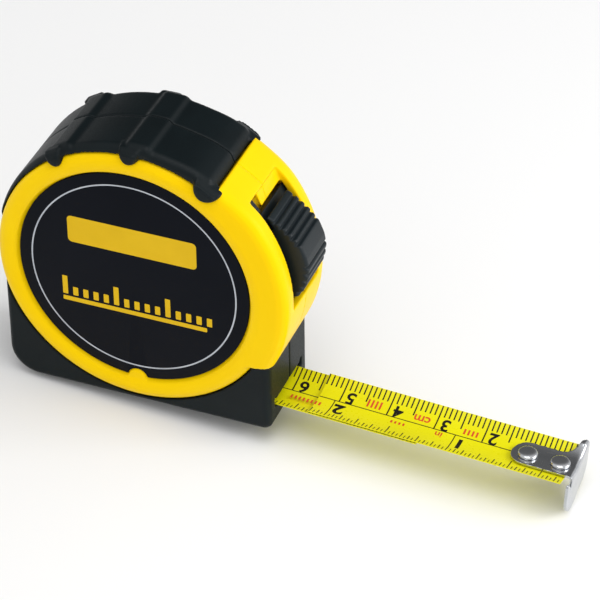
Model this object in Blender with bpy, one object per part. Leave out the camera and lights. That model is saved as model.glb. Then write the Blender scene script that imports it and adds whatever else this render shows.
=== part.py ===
"""Pocket tape measure with a moulded two-half case, a sliding lock and a steel blade.

Lengths below are in millimetres and are scaled to metres as meshes are made.
+X is the way the blade comes out, -Y the front face, +Z up; z = 0 is the flat of the base.
"""
import math

import bmesh
import bpy
from mathutils import Matrix, Vector

MM = 0.001

# Fits
PARTING = 0.3               # gap between the two halves
GAP = 0.3                   # gap between pieces that rest on each other
SEAT_GAP = 0.15             # gap round pins, screws and rivets
SIDE_GAP = 0.35             # side clearance of the blade in the drum
BORE_GAP = 0.3              # drum on its spindle

# Round of the case
RING_R = 29.0               # outer radius of the ring
CASE_AXIS_Z = RING_R + 1.5  # height of the drum's axis over the base
WALL_R = RING_R - 2.0       # outer radius of the case's round wall
WALL = 1.6
LABEL_R = RING_R - 4.6
LABEL_T = 0.5
LABEL_TAB_R = 2.0
SHOULDER_R = RING_R + 3.3   # outer radius of the lock's shoulder
SHOULDER_TOP_DEG = 54.2
SHOULDER_FOOT_Z = 15.6
SHOULDER_SKIN = 1.7

# Blade and its path; the path drops slightly towards the hook
BLADE_W = 12.7
BLADE_T = 0.2
BLADE_SAG = 1.5             # rise of the blade's edges over its middle
BLADE_DROP_DEG = 3.15
MOUTH_Z = 3.0               # blade's middle at the case's end face
MOUTH_HALF_Y = BLADE_W / 2 + 0.75
MOUTH_TOP = 2.4
MOUTH_LEAD = (-5.0, -2.6)   # the channel's roof comes down to the mouth between these
CHANNEL_TOP = 3.6
CHANNEL_FLOOR = -0.75

# Drum, coil and spring
SPINDLE_R = 2.3
COIL_R = WALL_R - WALL - 2.5
COIL_HALF_Y = BLADE_W / 2
FLANGE_T = 0.8
FLANGE_Y = (COIL_HALF_Y + SIDE_GAP, COIL_HALF_Y + SIDE_GAP + FLANGE_T)
FLANGE_LIP = 0.4            # the flanges' reach past the coil
DRUM_R = COIL_R - 4.4
DRUM_WALL = 1.4
HUB_WALL = 1.2
SPRING_R = (SPINDLE_R + BORE_GAP + HUB_WALL + 0.8, DRUM_R - DRUM_WALL - 0.5)
SPRING_HALF_Y = COIL_HALF_Y - 1.15

# Thickness of the case, built up from the drum
PLATE_IN_Y = FLANGE_Y[1] + 0.9      # inner face of the side plate
FACE_Y = PLATE_IN_Y + 1.8           # label face
RING_CREST_Y = FACE_Y + 1.0
RING_INNER = ((0.5, 0.6), (1.2, 0.15), (2.4, 0.0))      # outwards from the label, down from the crest
RING_OUTER = ((0.9, 0.45), (0.2, 1.1), (0.0, 1.8))      # inwards from the rim, down from the crest
SHOULDER_Y = FACE_Y + 0.4
GRIP_Y = FACE_Y + 0.2
LUG_Y = FACE_Y + 1.5

# Soft overmould: base block, left side and top grip
BASE_X0 = 0.6 - RING_R
BASE_X1 = RING_R - 0.7
BASE_CORNER_BACK = 6.0
BASE_CORNER_FRONT = 1.2
GRIP_R = RING_R + 1.3
GRIP_CENTRE = (0.9, CASE_AXIS_Z + 0.7)
GRIP_END_DEG = 54.8
SEAM_Y = 0.65               # plane where the overmould's halves meet
LUG_DEGS = (122.0, 90.0, 57.5)
LUG_WIDTHS = (3.4, 3.4, 4.6)
LUG_TIP_R = RING_R - 1.2
LUG_ROOT_R = GRIP_R + 0.4
LUG_SINK = 0.5              # depth of the lugs' seats in the ring
RIDGE_H = 0.7
RIDGE_HALF_DEG = 5.6
RIDGE_SLOPE_DEG = 2.4

# Lock: button, slider plate, arm and brake pad, on circles round the drum's axis
BUTTON_HALF_Y = 5.2
BUTTON_DEGS = (1.0, 32.5)
BUTTON_RISE = 3.3           # height of the button's crown over the shoulder
BUTTON_FOOT = 0.4           # height of its ends over the shoulder
RIB_COUNT = 7
RIB_STEP = 0.45
SLOT_HALF_Y = BUTTON_HALF_Y + 1.0
SLOT_DEGS = (-3.2, 42.5)
SLIDER_R = (WALL_R + 1.4, SHOULDER_R - SHOULDER_SKIN - 0.4)
SLIDER_HALF_Y = SLOT_HALF_Y + 1.4
SLIDER_DEGS = (-6.0, 35.5)
POCKET_HALF_Y = SLIDER_HALF_Y + 0.4
POCKET_DEGS = (SLIDER_DEGS[0] - 2.0, 45.5)
ARM_R = (SLIDER_R[0], SLIDER_R[0] + 1.2)
ARM_HALF_Y = 3.0
ARM_SIDE_GAP = 0.5
PAD_R = (ARM_R[0] - 0.5, ARM_R[1] + 0.3)
PAD_GAP = 0.3               # pad over the blade, lock at rest
PAD_LONG_DEG = 3.0

# Strips of the blade outside the coil, measured along it from the mouth
HOOK_FACE = 60.6            # measuring face
STRIP_START = 6.4
STRIP_END = HOOK_FACE - 1.5
INNER_START = -23.4
INNER_END = 29.2
STRIP_GAP = 0.3
CHANNEL_BACK = BASE_X0 - BASE_X1 + 3.2

# Hook and rivets
HOOK_T = 0.6
HOOK_FLOAT = 0.8
PLATE_START = HOOK_FACE - 13.7
PLATE_HALF_Y = 3.3
PLATE_RISE = 0.35           # underside of the plate over the blade's middle
FLARE = 3.6                 # length over which the plate widens to the lip
EAR_SPLIT = 2.2             # from the lip's front edge to the notch beside the plate
EAR_NOTCH = (1.0, 1.4)      # width of that notch, and its depth from the plate's top
LIP_HALF_Y = BLADE_W / 2 + 0.15
LIP_DEPTH = 8.0
RIVET_US = (HOOK_FACE - 10.3, HOOK_FACE - 3.6)
RIVET_SHANK_R = 0.8
RIVET_HEAD_R = 2.0
RIVET_HEAD_H = 0.8
RIVET_FOOT_R = RIVET_SHANK_R + 0.5
RIVET_FOOT = (-0.06, -0.2)

# Case screws: distance from the drum's axis and angle round it
SCREW_PLACES = ((RING_R + 2.65, 219.0), (RING_R + 3.4, -37.2), (RING_R + 1.5, 50.0))
SCREW_HEAD_R = 1.3
SCREW_HEAD_H = 0.9
SCREW_SHANK_R = 0.8
SCREW_LENGTH = 12.0
SCREW_SUNK = 0.9
CROSS_ARM = (0.9, 0.22)     # half length and half width of the driver's cross
CROSS_DEPTH = 0.55

# Belt clip
CLIP_W = 10.0
CLIP_T = 1.0
CLIP_TOP_Z = CASE_AXIS_Z + 17.5
CLIP_FOOT_Z = CASE_AXIS_Z - 16.5
CLIP_BEND = 2.0
CLIP_OFF = 3.2              # clear gap between the clip's two legs
CLIP_PINCH = 1.6            # the spring leg's lean towards the case
CLIP_SCREW_Z = CASE_AXIS_Z + 3.5
CLIP_SCREW_R = 2.4

YELLOW = (0.90, 0.62, 0.02, 1.0)
BLACK = (0.020, 0.024, 0.026, 1.0)
STEEL = (0.62, 0.63, 0.65, 1.0)

BLADE_TILT = Matrix.Rotation(math.radians(BLADE_DROP_DEG), 4, "Y")


# ---------------------------------------------------------------- tools
def material(name, colour, roughness, metallic=0.0):
    made = bpy.data.materials.new(name)
    made.use_nodes = True
    shader = made.node_tree.nodes["Principled BSDF"]
    shader.inputs["Base Color"].default_value = colour
    shader.inputs["Roughness"].default_value = roughness
    shader.inputs["Metallic"].default_value = metallic
    return made


def finish_mesh(name, bm, look, origin=(0.0, 0.0, 0.0)):
    """Close the mesh, move its origin to `origin` (mm) and link the object."""
    bmesh.ops.remove_doubles(bm, verts=bm.verts, dist=1e-7)
    bmesh.ops.recalc_face_normals(bm, faces=bm.faces)
    at = Vector(origin) * MM
    bmesh.ops.translate(bm, verts=bm.verts, vec=-at)
    mesh = bpy.data.meshes.new(name)
    bm.to_mesh(mesh)
    bm.free()
    made = bpy.data.objects.new(name, mesh)
    made.location = at
    bpy.context.collection.objects.link(made)
    if look is not None:
        mesh.materials.append(look)
    mesh.shade_smooth()
    mesh.set_sharp_from_angle(angle=math.radians(35))
    return made


def slab(name, outline, y0, y1, look=None, origin=(0.0, 0.0, 0.0)):
    """Closed outline in (x, z), extruded from y0 to y1."""
    bm = bmesh.new()
    near = [bm.verts.new(Vector((x, y0, z)) * MM) for x, z in outline]
    far = [bm.verts.new(Vector((x, y1, z)) * MM) for x, z in outline]
    bm.faces.new(near)
    bm.faces.new(list(reversed(far)))
    for i in range(len(outline)):
        j = (i + 1) % len(outline)
        bm.faces.new((near[j], near[i], far[i], far[j]))
    return finish_mesh(name, bm, look, origin)


def turned(name, profile, centre=(0.0, CASE_AXIS_Z), look=None, steps=60):
    """Closed (radius, y) profile turned round a Y axis through `centre` (x, z)."""
    bm = bmesh.new()
    rings = []
    for r, y in profile:
        if r < 1e-6:
            rings.append([bm.verts.new(Vector((centre[0], y, centre[1])) * MM)])
            continue
        ring = []
        for k in range(steps):
            a = 2 * math.pi * k / steps
            spot = Vector((centre[0] + r * math.cos(a), y, centre[1] + r * math.sin(a)))
            ring.append(bm.verts.new(spot * MM))
        rings.append(ring)
    closed = profile[0][0] > 1e-6
    pairs = list(zip(rings, rings[1:]))
    if closed:
        pairs.append((rings[-1], rings[0]))
    for a, b in pairs:
        for k in range(steps):
            m = (k + 1) % steps
            corners = [a[k % len(a)], a[m % len(a)], b[m % len(b)], b[k % len(b)]]
            face = list(dict.fromkeys(corners))
            if len(face) > 2:
                bm.faces.new(face)
    return finish_mesh(name, bm, look, (centre[0], 0.0, centre[1]))


def box(name, x, y, z, look=None):
    outline = [(x[0], z[0]), (x[1], z[0]), (x[1], z[1]), (x[0], z[1])]
    return slab(name, outline, y[0], y[1], look)


def combine(target, tool, operation):
    """Boolean `tool` into `target`; the tool stays as a hidden wire guide."""
    step = target.modifiers.new(tool.name, "BOOLEAN")
    step.object = tool
    step.operation = operation
    step.solver = "EXACT"
    tool.hide_render = True
    tool.display_type = "WIRE"
    return target


def cut(target, *tools):
    for tool in tools:
        combine(target, tool, "DIFFERENCE")


def weld(target, *tools):
    for tool in tools:
        combine(target, tool, "UNION")


def arc(r, start, end, step=4.0, centre=(0.0, CASE_AXIS_Z)):
    """Points (x, z) on a circle, from one angle to another in degrees."""
    count = max(2, int(abs(end - start) / step) + 1)
    points = []
    for k in range(count):
        a = math.radians(start + (end - start) * k / (count - 1))
        points.append((centre[0] + r * math.cos(a), centre[1] + r * math.sin(a)))
    return points


def sector(r0, r1, start, end, step=3.0):
    return arc(r0, start, end, step) + arc(r1, end, start, step)


def angle_at_height(r, z):
    """Angle below the axis, in degrees, at which a circle of radius r is at height z."""
    return math.degrees(math.asin((z - CASE_AXIS_Z) / r))


def sides(side, y0, y1):
    """A span given from the middle plane outwards, put on the front (-1) or rear (+1)."""
    a, b = side * y0, side * y1
    return min(a, b), max(a, b)


def on_blade(obj):
    """Place an object that was made along the blade, with u, y, w measured at the mouth."""
    obj.matrix_world = Matrix.Translation(Vector((BASE_X1, 0.0, MOUTH_Z)) * MM) @ BLADE_TILT
    return obj


# ---------------------------------------------------------------- case
def blade_channel(name, half_y, floor):
    """Cutter for the straight run under the coil, with the lower mouth at its end."""
    back, lead, beyond = CHANNEL_BACK, MOUTH_LEAD, STRIP_START
    outline = [(back, floor), (beyond, floor), (beyond, MOUTH_TOP), (lead[1], MOUTH_TOP),
               (lead[0], CHANNEL_TOP), (back, CHANNEL_TOP)]
    return on_blade(slab(name, outline, -half_y, half_y))


def lug_outline(degrees, width, grow=0.0):
    """Rounded finger that points at the drum's axis."""
    half = width / 2 + grow
    tip = LUG_TIP_R + width / 2
    points = [(LUG_ROOT_R, -half), (tip, -half)]
    for k in range(1, 8):
        a = math.pi * k / 8
        points.append((tip - half * math.sin(a), -half * math.cos(a)))
    points += [(tip, half), (LUG_ROOT_R, half)]
    a = math.radians(degrees)
    return [(r * math.cos(a) - t * math.sin(a), CASE_AXIS_Z + r * math.sin(a) + t * math.cos(a))
            for r, t in points]


def lugs(name, side, grow, y0, y1):
    made = []
    for k, (degrees, width) in enumerate(zip(LUG_DEGS, LUG_WIDTHS)):
        span = sides(side, y0, y1)
        made.append(slab(f"{name}_lug_{k + 1}", lug_outline(degrees, width, grow), *span))
    return made


def shell_profile(side):
    """Side plate with its convex ring and the pocket for the label, and the round wall."""
    pocket_y = FACE_Y - LABEL_T
    points = [(0.0, pocket_y), (LABEL_R + GAP, pocket_y)]
    points += [(LABEL_R + out, RING_CREST_Y - down) for out, down in RING_INNER]
    points += [(RING_R - back, RING_CREST_Y - down) for back, down in RING_OUTER]
    points += [(RING_R, PLATE_IN_Y), (WALL_R, PLATE_IN_Y), (WALL_R, PARTING / 2),
               (WALL_R - WALL, PARTING / 2), (WALL_R - WALL, PLATE_IN_Y), (0.0, PLATE_IN_Y)]
    return [(r, side * y) for r, y in points]


def make_shell(name, side, look, screws_through):
    shell = turned(name, shell_profile(side), look=look)
    tab_z = CASE_AXIS_Z - LABEL_R - GAP
    tab = turned(f"{name}_tab", [(0.0, side * (FACE_Y + 0.3)), (LABEL_TAB_R, side * (FACE_Y + 0.3)),
                                 (LABEL_TAB_R, side * (PLATE_IN_Y + 0.5)),
                                 (0.0, side * (PLATE_IN_Y + 0.5))], (0.0, tab_z), steps=24)
    foot = angle_at_height(SHOULDER_R, SHOULDER_FOOT_Z)
    root_r = WALL_R - WALL / 2
    root_foot = angle_at_height(root_r, SHOULDER_FOOT_Z)
    outline = arc(SHOULDER_R, foot, SHOULDER_TOP_DEG, 3.0) + arc(root_r, SHOULDER_TOP_DEG, root_foot, 3.0)
    shoulder = slab(f"{name}_shoulder", outline, *sides(side, PARTING / 2 + 0.05, SHOULDER_Y))
    weld(shell, shoulder, tab)

    pocket_r = (WALL_R + GAP, SHOULDER_R - SHOULDER_SKIN)
    pocket = slab(f"{name}_pocket", sector(*pocket_r, *POCKET_DEGS), -POCKET_HALF_Y, POCKET_HALF_Y)
    window = slab(f"{name}_window", sector(pocket_r[1] - 0.5, SHOULDER_R + 2, *SLOT_DEGS),
                  -SLOT_HALF_Y, SLOT_HALF_Y)
    arm_way = arm_channel(f"{name}_arm_way")
    channel = blade_channel(f"{name}_channel", MOUTH_HALF_Y + 0.2, CHANNEL_FLOOR - 0.6)
    seats = lugs(f"{name}_seat", side, SEAT_GAP, FACE_Y - LUG_SINK, LUG_Y + GAP)
    cut(shell, pocket, window, arm_way, channel, *seats)
    if screws_through:
        cut(shell, *screw_holes(name))
    else:
        cut(shell, *screw_pilots(name))
    return shell


def arm_channel(name):
    half = ARM_HALF_Y + ARM_SIDE_GAP
    end = pad_foot() - 6.0
    return slab(name, sector(WALL_R + GAP, SLIDER_R[1] + 0.2, end, SLIDER_DEGS[0] + 2), -half, half)


def pad_foot():
    """Angle at which the pad's lower corner stands PAD_GAP over the blade."""
    drop = math.radians(BLADE_DROP_DEG)
    crown = BLADE_T + BLADE_SAG * (2 * ARM_HALF_Y / BLADE_W) ** 2
    height = MOUTH_Z + BASE_X1 * math.tan(drop) + crown + PAD_GAP - CASE_AXIS_Z
    return math.degrees(math.asin(height * math.cos(drop) / PAD_R[1])) - BLADE_DROP_DEG


def grip_outline(gap_r):
    """Outline of the overmould: base block, left side, and grip over the top with its ridges."""
    seat_z = SHOULDER_FOOT_Z - GAP
    points = [(BASE_X1, seat_z)]
    inner = arc(gap_r, angle_at_height(gap_r, seat_z), GRIP_END_DEG - 360, 4.0)
    points += inner
    start = math.degrees(math.atan2(*reversed(_on_grip(GRIP_END_DEG))))
    end = 180 - math.degrees(math.acos((GRIP_CENTRE[0] - BASE_X0) / GRIP_R))
    count = 64
    for k in range(count + 1):
        a = start + (end - start) * k / count
        r = GRIP_R + RIDGE_H * ridge_height(a)
        points.append((GRIP_CENTRE[0] + r * math.cos(math.radians(a)),
                       GRIP_CENTRE[1] + r * math.sin(math.radians(a))))
    back, front = BASE_CORNER_BACK, BASE_CORNER_FRONT
    points += arc(back, 180, 270, 15, (BASE_X0 + back, back))
    points += arc(front, 270, 360, 30, (BASE_X1 - front, front))
    return points


def _on_grip(degrees):
    """Point of the grip's outer circle, from its own centre, on a ray from the drum's axis."""
    a = math.radians(degrees)
    ray = Vector((math.cos(a), math.sin(a)))
    offset = Vector((-GRIP_CENTRE[0], CASE_AXIS_Z - GRIP_CENTRE[1]))
    along = offset.dot(ray)
    reach = -along + math.sqrt(along ** 2 + GRIP_R ** 2 - offset.length_squared)
    return tuple(offset + ray * reach)


def ridge_height(degrees):
    """0 on the pads, 1 on the crest of a ridge above each lug."""
    height = 0.0
    for lug in LUG_DEGS[:2]:
        off = abs(degrees - lug + 1.0)
        height = max(height, min(1.0, (RIDGE_HALF_DEG - off) / RIDGE_SLOPE_DEG))
    return height


def make_grip(name, side, look, screws_through):
    """Overmould of one case half. It also makes the base, so the base's flat is on it."""
    y0 = PARTING / 2 + side * SEAM_Y
    grip = slab(name, grip_outline(WALL_R + GAP), *sides(side, y0, GRIP_Y), look=look)
    clear_r, clear_y = RING_R + GAP, PLATE_IN_Y - GAP
    ring_space = turned(f"{name}_ring_space", [(0.0, side * clear_y), (clear_r, side * clear_y),
                                               (clear_r, side * (LUG_Y + 3)), (0.0, side * (LUG_Y + 3))])
    cut(grip, ring_space)
    weld(grip, *lugs(name, side, 0.0, FACE_Y - LUG_SINK + GAP, LUG_Y))
    channel = blade_channel(f"{name}_channel", MOUTH_HALF_Y, CHANNEL_FLOOR)
    cut(grip, channel, arm_channel(f"{name}_arm_way"))
    if screws_through:
        cut(grip, *screw_holes(name))
    else:
        cut(grip, *screw_pilots(name))
    return grip


def make_label(name, side, look):
    y0, y1 = FACE_Y - LABEL_T + GAP, FACE_Y
    label = turned(name, [(0.0, side * y1), (LABEL_R, side * y1), (LABEL_R, side * y0), (0.0, side * y0)],
                   look=look)
    tab_z = CASE_AXIS_Z - LABEL_R - GAP
    r, outer = LABEL_TAB_R + GAP, FACE_Y + 1.8
    notch = turned(f"{name}_notch", [(0.0, side * outer), (r, side * outer), (r, side * PLATE_IN_Y),
                                     (0.0, side * PLATE_IN_Y)], (0.0, tab_z), steps=24)
    cut(label, notch)
    return label


# ---------------------------------------------------------------- screws
def screw_point(index):
    r, degrees = SCREW_PLACES[index]
    return polar(r, degrees)


def screw_holes(name):
    """Stepped holes through the rear half."""
    made = []
    head, shank, top = SCREW_HEAD_R + SEAT_GAP, SCREW_SHANK_R + SEAT_GAP, LUG_Y + 8
    for k in range(len(SCREW_PLACES)):
        seat = screw_seat_y(k) - SEAT_GAP
        profile = [(0.0, top), (head, top), (head, seat), (shank, seat), (shank, -1.0), (0.0, -1.0)]
        made.append(turned(f"{name}_hole_{k + 1}", profile, screw_point(k), steps=20))
    return made


def screw_pilots(name):
    """Blind pilot holes in the front half."""
    made = []
    r = SCREW_SHANK_R + SEAT_GAP
    for k in range(len(SCREW_PLACES)):
        end = screw_seat_y(k) - SCREW_LENGTH - GAP
        profile = [(0.0, 1.0), (r, 1.0), (r, end), (0.0, end)]
        made.append(turned(f"{name}_pilot_{k + 1}", profile, screw_point(k), steps=20))
    return made


def screw_seat_y(index):
    """Underside of a screw's head; the last screw is in the shoulder."""
    face = SHOULDER_Y if index == len(SCREW_PLACES) - 1 else GRIP_Y
    return face - SCREW_SUNK - 1.0


def make_screw(index, look):
    x, z = screw_point(index)
    seat = screw_seat_y(index)
    r, shank, high = SCREW_HEAD_R, SCREW_SHANK_R, SCREW_HEAD_H
    profile = [(0.0, seat + high), (r * 0.6, seat + high), (r, seat + high * 0.6), (r, seat),
               (shank, seat), (shank, seat - SCREW_LENGTH + 1), (0.0, seat - SCREW_LENGTH)]
    name = f"case_screw_{index + 1}"
    screw = turned(name, profile, (x, z), look, steps=20)
    depth = (seat + high - CROSS_DEPTH, seat + high + 1)
    for k, (a, b) in enumerate((CROSS_ARM, CROSS_ARM[::-1])):
        cut(screw, box(f"{name}_recess_{k + 1}", (x - a, x + a), depth, (z - b, z + b)))
    return screw


# ---------------------------------------------------------------- lock
def button_outline():
    """Side view of the ribbed cap: rises to a crown, with a step at each rib."""
    start, end = BUTTON_DEGS
    base = SLIDER_R[1] - 0.4
    foot = SHOULDER_R + BUTTON_FOOT
    crown = SHOULDER_R + BUTTON_RISE
    points = arc(base, end, start, 4.0)
    points.append(polar(foot, start))
    span = (end - start) / RIB_COUNT
    for k in range(RIB_COUNT):
        a0, a1 = start + span * k, start + span * (k + 1)
        middle = (a0 + a1) / 2
        rise = crown_share((middle - start) / (end - start))
        r = foot + (crown - foot) * rise
        points.append(polar(r - RIB_STEP, a0 + span * 0.12))
        points.append(polar(r, a0 + span * 0.3))
        points.append(polar(r, a1 - span * 0.3))
        points.append(polar(r - RIB_STEP, a1 - span * 0.12))
    points.append(polar(foot, end))
    return points


def crown_share(t):
    """0 at the button's ends and 1 on its crown, which is nearer the lower end."""
    return min(1.0, (t + 0.12) / 0.42, (1.04 - t) / 0.42)


def polar(r, degrees):
    a = math.radians(degrees)
    return r * math.cos(a), CASE_AXIS_Z + r * math.sin(a)


def make_lock(look, pad_look):
    axis = (0.0, 0.0, CASE_AXIS_Z)
    button = slab("lock_button", button_outline(), -BUTTON_HALF_Y, BUTTON_HALF_Y, look, axis)
    slider = slab("lock_slider", sector(*SLIDER_R, *SLIDER_DEGS), -SLIDER_HALF_Y, SLIDER_HALF_Y)
    foot = pad_foot()
    pad_top = foot + PAD_LONG_DEG
    arm = slab("lock_arm", sector(*ARM_R, pad_top + 0.5, SLIDER_DEGS[0] + 1), -ARM_HALF_Y, ARM_HALF_Y)
    weld(button, slider, arm)
    pad = slab("brake_pad", sector(*PAD_R, foot, pad_top), -ARM_HALF_Y, ARM_HALF_Y, pad_look, axis)
    return button, pad


# ---------------------------------------------------------------- blade
def make_strip(name, u0, u1, w, look):
    """Blade strip, concave side up, along u from the mouth; w is its underside's middle."""
    bm = bmesh.new()
    columns = 8
    rows = []
    for k in range(columns + 1):
        t = -1 + 2 * k / columns
        y = t * BLADE_W / 2
        lift = BLADE_SAG * t * t
        slope = 2 * BLADE_SAG * t / (BLADE_W / 2)
        normal = Vector((0.0, -slope, 1.0)).normalized() * BLADE_T
        low = Vector((0.0, y, w + lift))
        rows.append((low, low + normal))
    ring0 = [p for p, _ in rows] + [p for _, p in reversed(rows)]
    near = [bm.verts.new((p + Vector((u0, 0, 0))) * MM) for p in ring0]
    far = [bm.verts.new((p + Vector((u1, 0, 0))) * MM) for p in ring0]
    count = len(ring0)
    for i in range(count):
        j = (i + 1) % count
        bm.faces.new((near[i], near[j], far[j], far[i]))
    for k in range(columns):
        for ring in (near, far):
            bm.faces.new((ring[k], ring[k + 1], ring[count - 2 - k], ring[count - 1 - k]))
    return on_blade(finish_mesh(name, bm, look))


def upright(name, profile, u, look=None, steps=20):
    """(radius, w) profile turned round an upright axis at u on the blade."""
    bm = bmesh.new()
    rings = []
    for r, w in profile:
        if r < 1e-6:
            rings.append([bm.verts.new(Vector((u, 0, w)) * MM)])
            continue
        turn = [2 * math.pi * k / steps for k in range(steps)]
        rings.append([bm.verts.new(Vector((u + r * math.cos(a), r * math.sin(a), w)) * MM) for a in turn])
    for a, b in zip(rings, rings[1:]):
        for k in range(steps):
            m = (k + 1) % steps
            corners = [a[k % len(a)], a[m % len(a)], b[m % len(b)], b[k % len(b)]]
            face = list(dict.fromkeys(corners))
            if len(face) > 2:
                bm.faces.new(face)
    return on_blade(finish_mesh(name, bm, look))


def make_blade(look):
    strip = make_strip("blade_strip", STRIP_START, STRIP_END, 0.0, look)
    inner = make_strip("blade_inner_strip", INNER_START, INNER_END, -BLADE_T - STRIP_GAP, look)
    for k, u in enumerate(RIVET_US):
        r = RIVET_SHANK_R + SEAT_GAP
        cut(strip, upright(f"strip_hole_{k + 1}", [(0, 3), (r, 3), (r, -3), (0, -3)], u))
    return strip, inner


def plate_floor(y):
    """Underside of the hook's plate, which follows the blade's curve across its width."""
    return PLATE_RISE + BLADE_SAG * (2 * y / BLADE_W) ** 2


def plate_outline():
    """Where the plate begins across its width (y, u): a round end, then a flare to the lip."""
    made = []
    for degrees in range(-90, 91, 18):
        a = math.radians(degrees)
        made.append((PLATE_HALF_Y * math.sin(a), PLATE_START + PLATE_HALF_Y * (1 - math.cos(a))))
    for edge in (0, -1):
        made[edge] = (made[edge][0], HOOK_FACE - FLARE)
    for k in range(1, 4):
        share = k / 3
        y = PLATE_HALF_Y + (LIP_HALF_Y - PLATE_HALF_Y) * share
        u = HOOK_FACE - FLARE + (FLARE - 2 * HOOK_T) * share
        made.append((y, u))
        if y < LIP_HALF_Y - EAR_SPLIT:
            made.insert(0, (-y, u))
    return made


def make_hook(look):
    """Curved plate on the blade with a turned-down lip; the rivet slots let it slide."""
    end = HOOK_FACE - 0.02
    bm = bmesh.new()
    rows = []
    for y, start in plate_outline():
        low = plate_floor(y)
        corners = [(start, low), (end, low), (end, low + HOOK_T), (start, low + HOOK_T)]
        rows.append([bm.verts.new(Vector((u, y, w)) * MM) for u, w in corners])
    for a, b in zip(rows, rows[1:]):
        for k in range(4):
            m = (k + 1) % 4
            bm.faces.new((a[k], a[m], b[m], b[k]))
    bm.faces.new(rows[0])
    bm.faces.new(list(reversed(rows[-1])))
    hook = on_blade(finish_mesh("end_hook", bm, look))
    weld(hook, make_lip())
    r = RIVET_SHANK_R + SEAT_GAP
    bore = [(0, 3), (r, 3), (r, -1), (0, -1)]
    for k, u in enumerate(RIVET_US):
        far_u = u + HOOK_FLOAT
        span = [(u, -1), (far_u, -1), (far_u, 3), (u, 3)]
        way = on_blade(slab(f"hook_slot_way_{k + 1}", span, -r * 0.98, r * 0.98))
        far = upright(f"hook_slot_far_{k + 1}", bore, far_u)
        cut(hook, upright(f"hook_slot_{k + 1}", bore, u), far, way)
    return hook


def make_lip():
    """Turned-down lip with a toothed foot and an ear at the front edge of the blade."""
    half, depth = LIP_HALF_Y, LIP_DEPTH
    neck = -half + EAR_SPLIT
    notch, notch_deep = EAR_NOTCH
    top = plate_floor(0.0) + HOOK_T
    foot = [(-half, depth * 0.55), (-half * 0.85, depth * 0.78), (-half * 0.52, depth * 0.95),
            (-half * 0.25, depth), (-half * 0.03, depth * 0.97), (half * 0.18, depth * 0.9),
            (half * 0.4, depth * 0.93), (half * 0.68, depth * 0.91), (half * 0.86, depth * 0.8),
            (half * 0.97, depth * 0.68), (half, depth * 0.38)]
    under = HOOK_T - 0.05
    across = [half * (1 - k / 6) for k in range(0, 9)]
    crest = [(y, plate_floor(y) + under) for y in across if y > neck + 0.2]
    crest.append((neck, plate_floor(neck) + under))
    ear = plate_floor(half) + HOOK_T
    outline = [(y, top - down) for y, down in foot] + crest
    outline += [(neck, top - notch_deep + 0.4), (neck - notch / 2, top - notch_deep),
                (neck - notch * 0.9, top - notch_deep + 0.4), (neck - notch, ear - 0.4), (-half, ear - 0.8)]
    bm = bmesh.new()
    u0, u1 = HOOK_FACE - HOOK_T, HOOK_FACE
    near = [bm.verts.new(Vector((u0, y, w)) * MM) for y, w in outline]
    far = [bm.verts.new(Vector((u1, y, w)) * MM) for y, w in outline]
    bm.faces.new(near)
    bm.faces.new(list(reversed(far)))
    for i in range(len(outline)):
        j = (i + 1) % len(outline)
        bm.faces.new((near[j], near[i], far[i], far[j]))
    return on_blade(finish_mesh("hook_lip", bm, None))


def make_rivet(index, look):
    """Domed head over the hook's plate, shank through plate and blade, small foot below."""
    r, h, rim = RIVET_HEAD_R, RIVET_HEAD_H, 0.2
    seat = plate_floor(r) + HOOK_T + 0.06
    dome = [(r * math.cos(math.radians(a)), seat + rim + (h - rim) * math.sin(math.radians(a)))
            for a in (72, 54, 36, 18, 0)]
    head = [(0.0, seat + h)] + dome + [(r, seat), (RIVET_SHANK_R, seat)]
    y0, y1 = RIVET_FOOT
    tail = [(RIVET_SHANK_R, y0), (RIVET_FOOT_R, y0), (RIVET_FOOT_R, y1), (0.0, y1)]
    return upright(f"hook_rivet_{index + 1}", head + tail, RIVET_US[index], look)


# ---------------------------------------------------------------- drum
def make_drum(drum_look, blade_look, steel_look):
    bore = SPINDLE_R + BORE_GAP
    f0, f1 = FLANGE_Y
    rim = COIL_R + FLANGE_LIP
    inner = DRUM_R - DRUM_WALL
    web = f0 - 0.6
    hub = bore + HUB_WALL
    drum = turned("spool_drum", [(bore, f1), (rim, f1), (rim, f0), (DRUM_R, f0), (DRUM_R, -f0 + GAP),
                                 (inner, -f0 + GAP), (inner, web), (hub, web),
                                 (hub, -SPRING_HALF_Y), (bore, -SPRING_HALF_Y)], look=drum_look, steps=48)
    cover = turned("spool_cover", [(bore, -f0), (rim, -f0), (rim, -f1), (bore, -f1)],
                   look=drum_look, steps=48)
    coil = turned("blade_coil", [(DRUM_R + GAP, COIL_HALF_Y), (COIL_R, COIL_HALF_Y), (COIL_R, -COIL_HALF_Y),
                                 (DRUM_R + GAP, -COIL_HALF_Y)], look=blade_look, steps=48)
    spring = turned("power_spring", [(SPRING_R[0], SPRING_HALF_Y), (SPRING_R[1], SPRING_HALF_Y),
                                     (SPRING_R[1], -SPRING_HALF_Y), (SPRING_R[0], -SPRING_HALF_Y)],
                    look=steel_look, steps=48)
    end = PLATE_IN_Y - GAP
    spindle = turned("centre_spindle", [(0.0, end), (SPINDLE_R - 0.3, end), (SPINDLE_R, end - 0.3),
                                        (SPINDLE_R, -end + 0.3), (SPINDLE_R - 0.3, -end), (0.0, -end)],
                     look=steel_look, steps=32)
    return drum, cover, coil, spring, spindle


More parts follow.
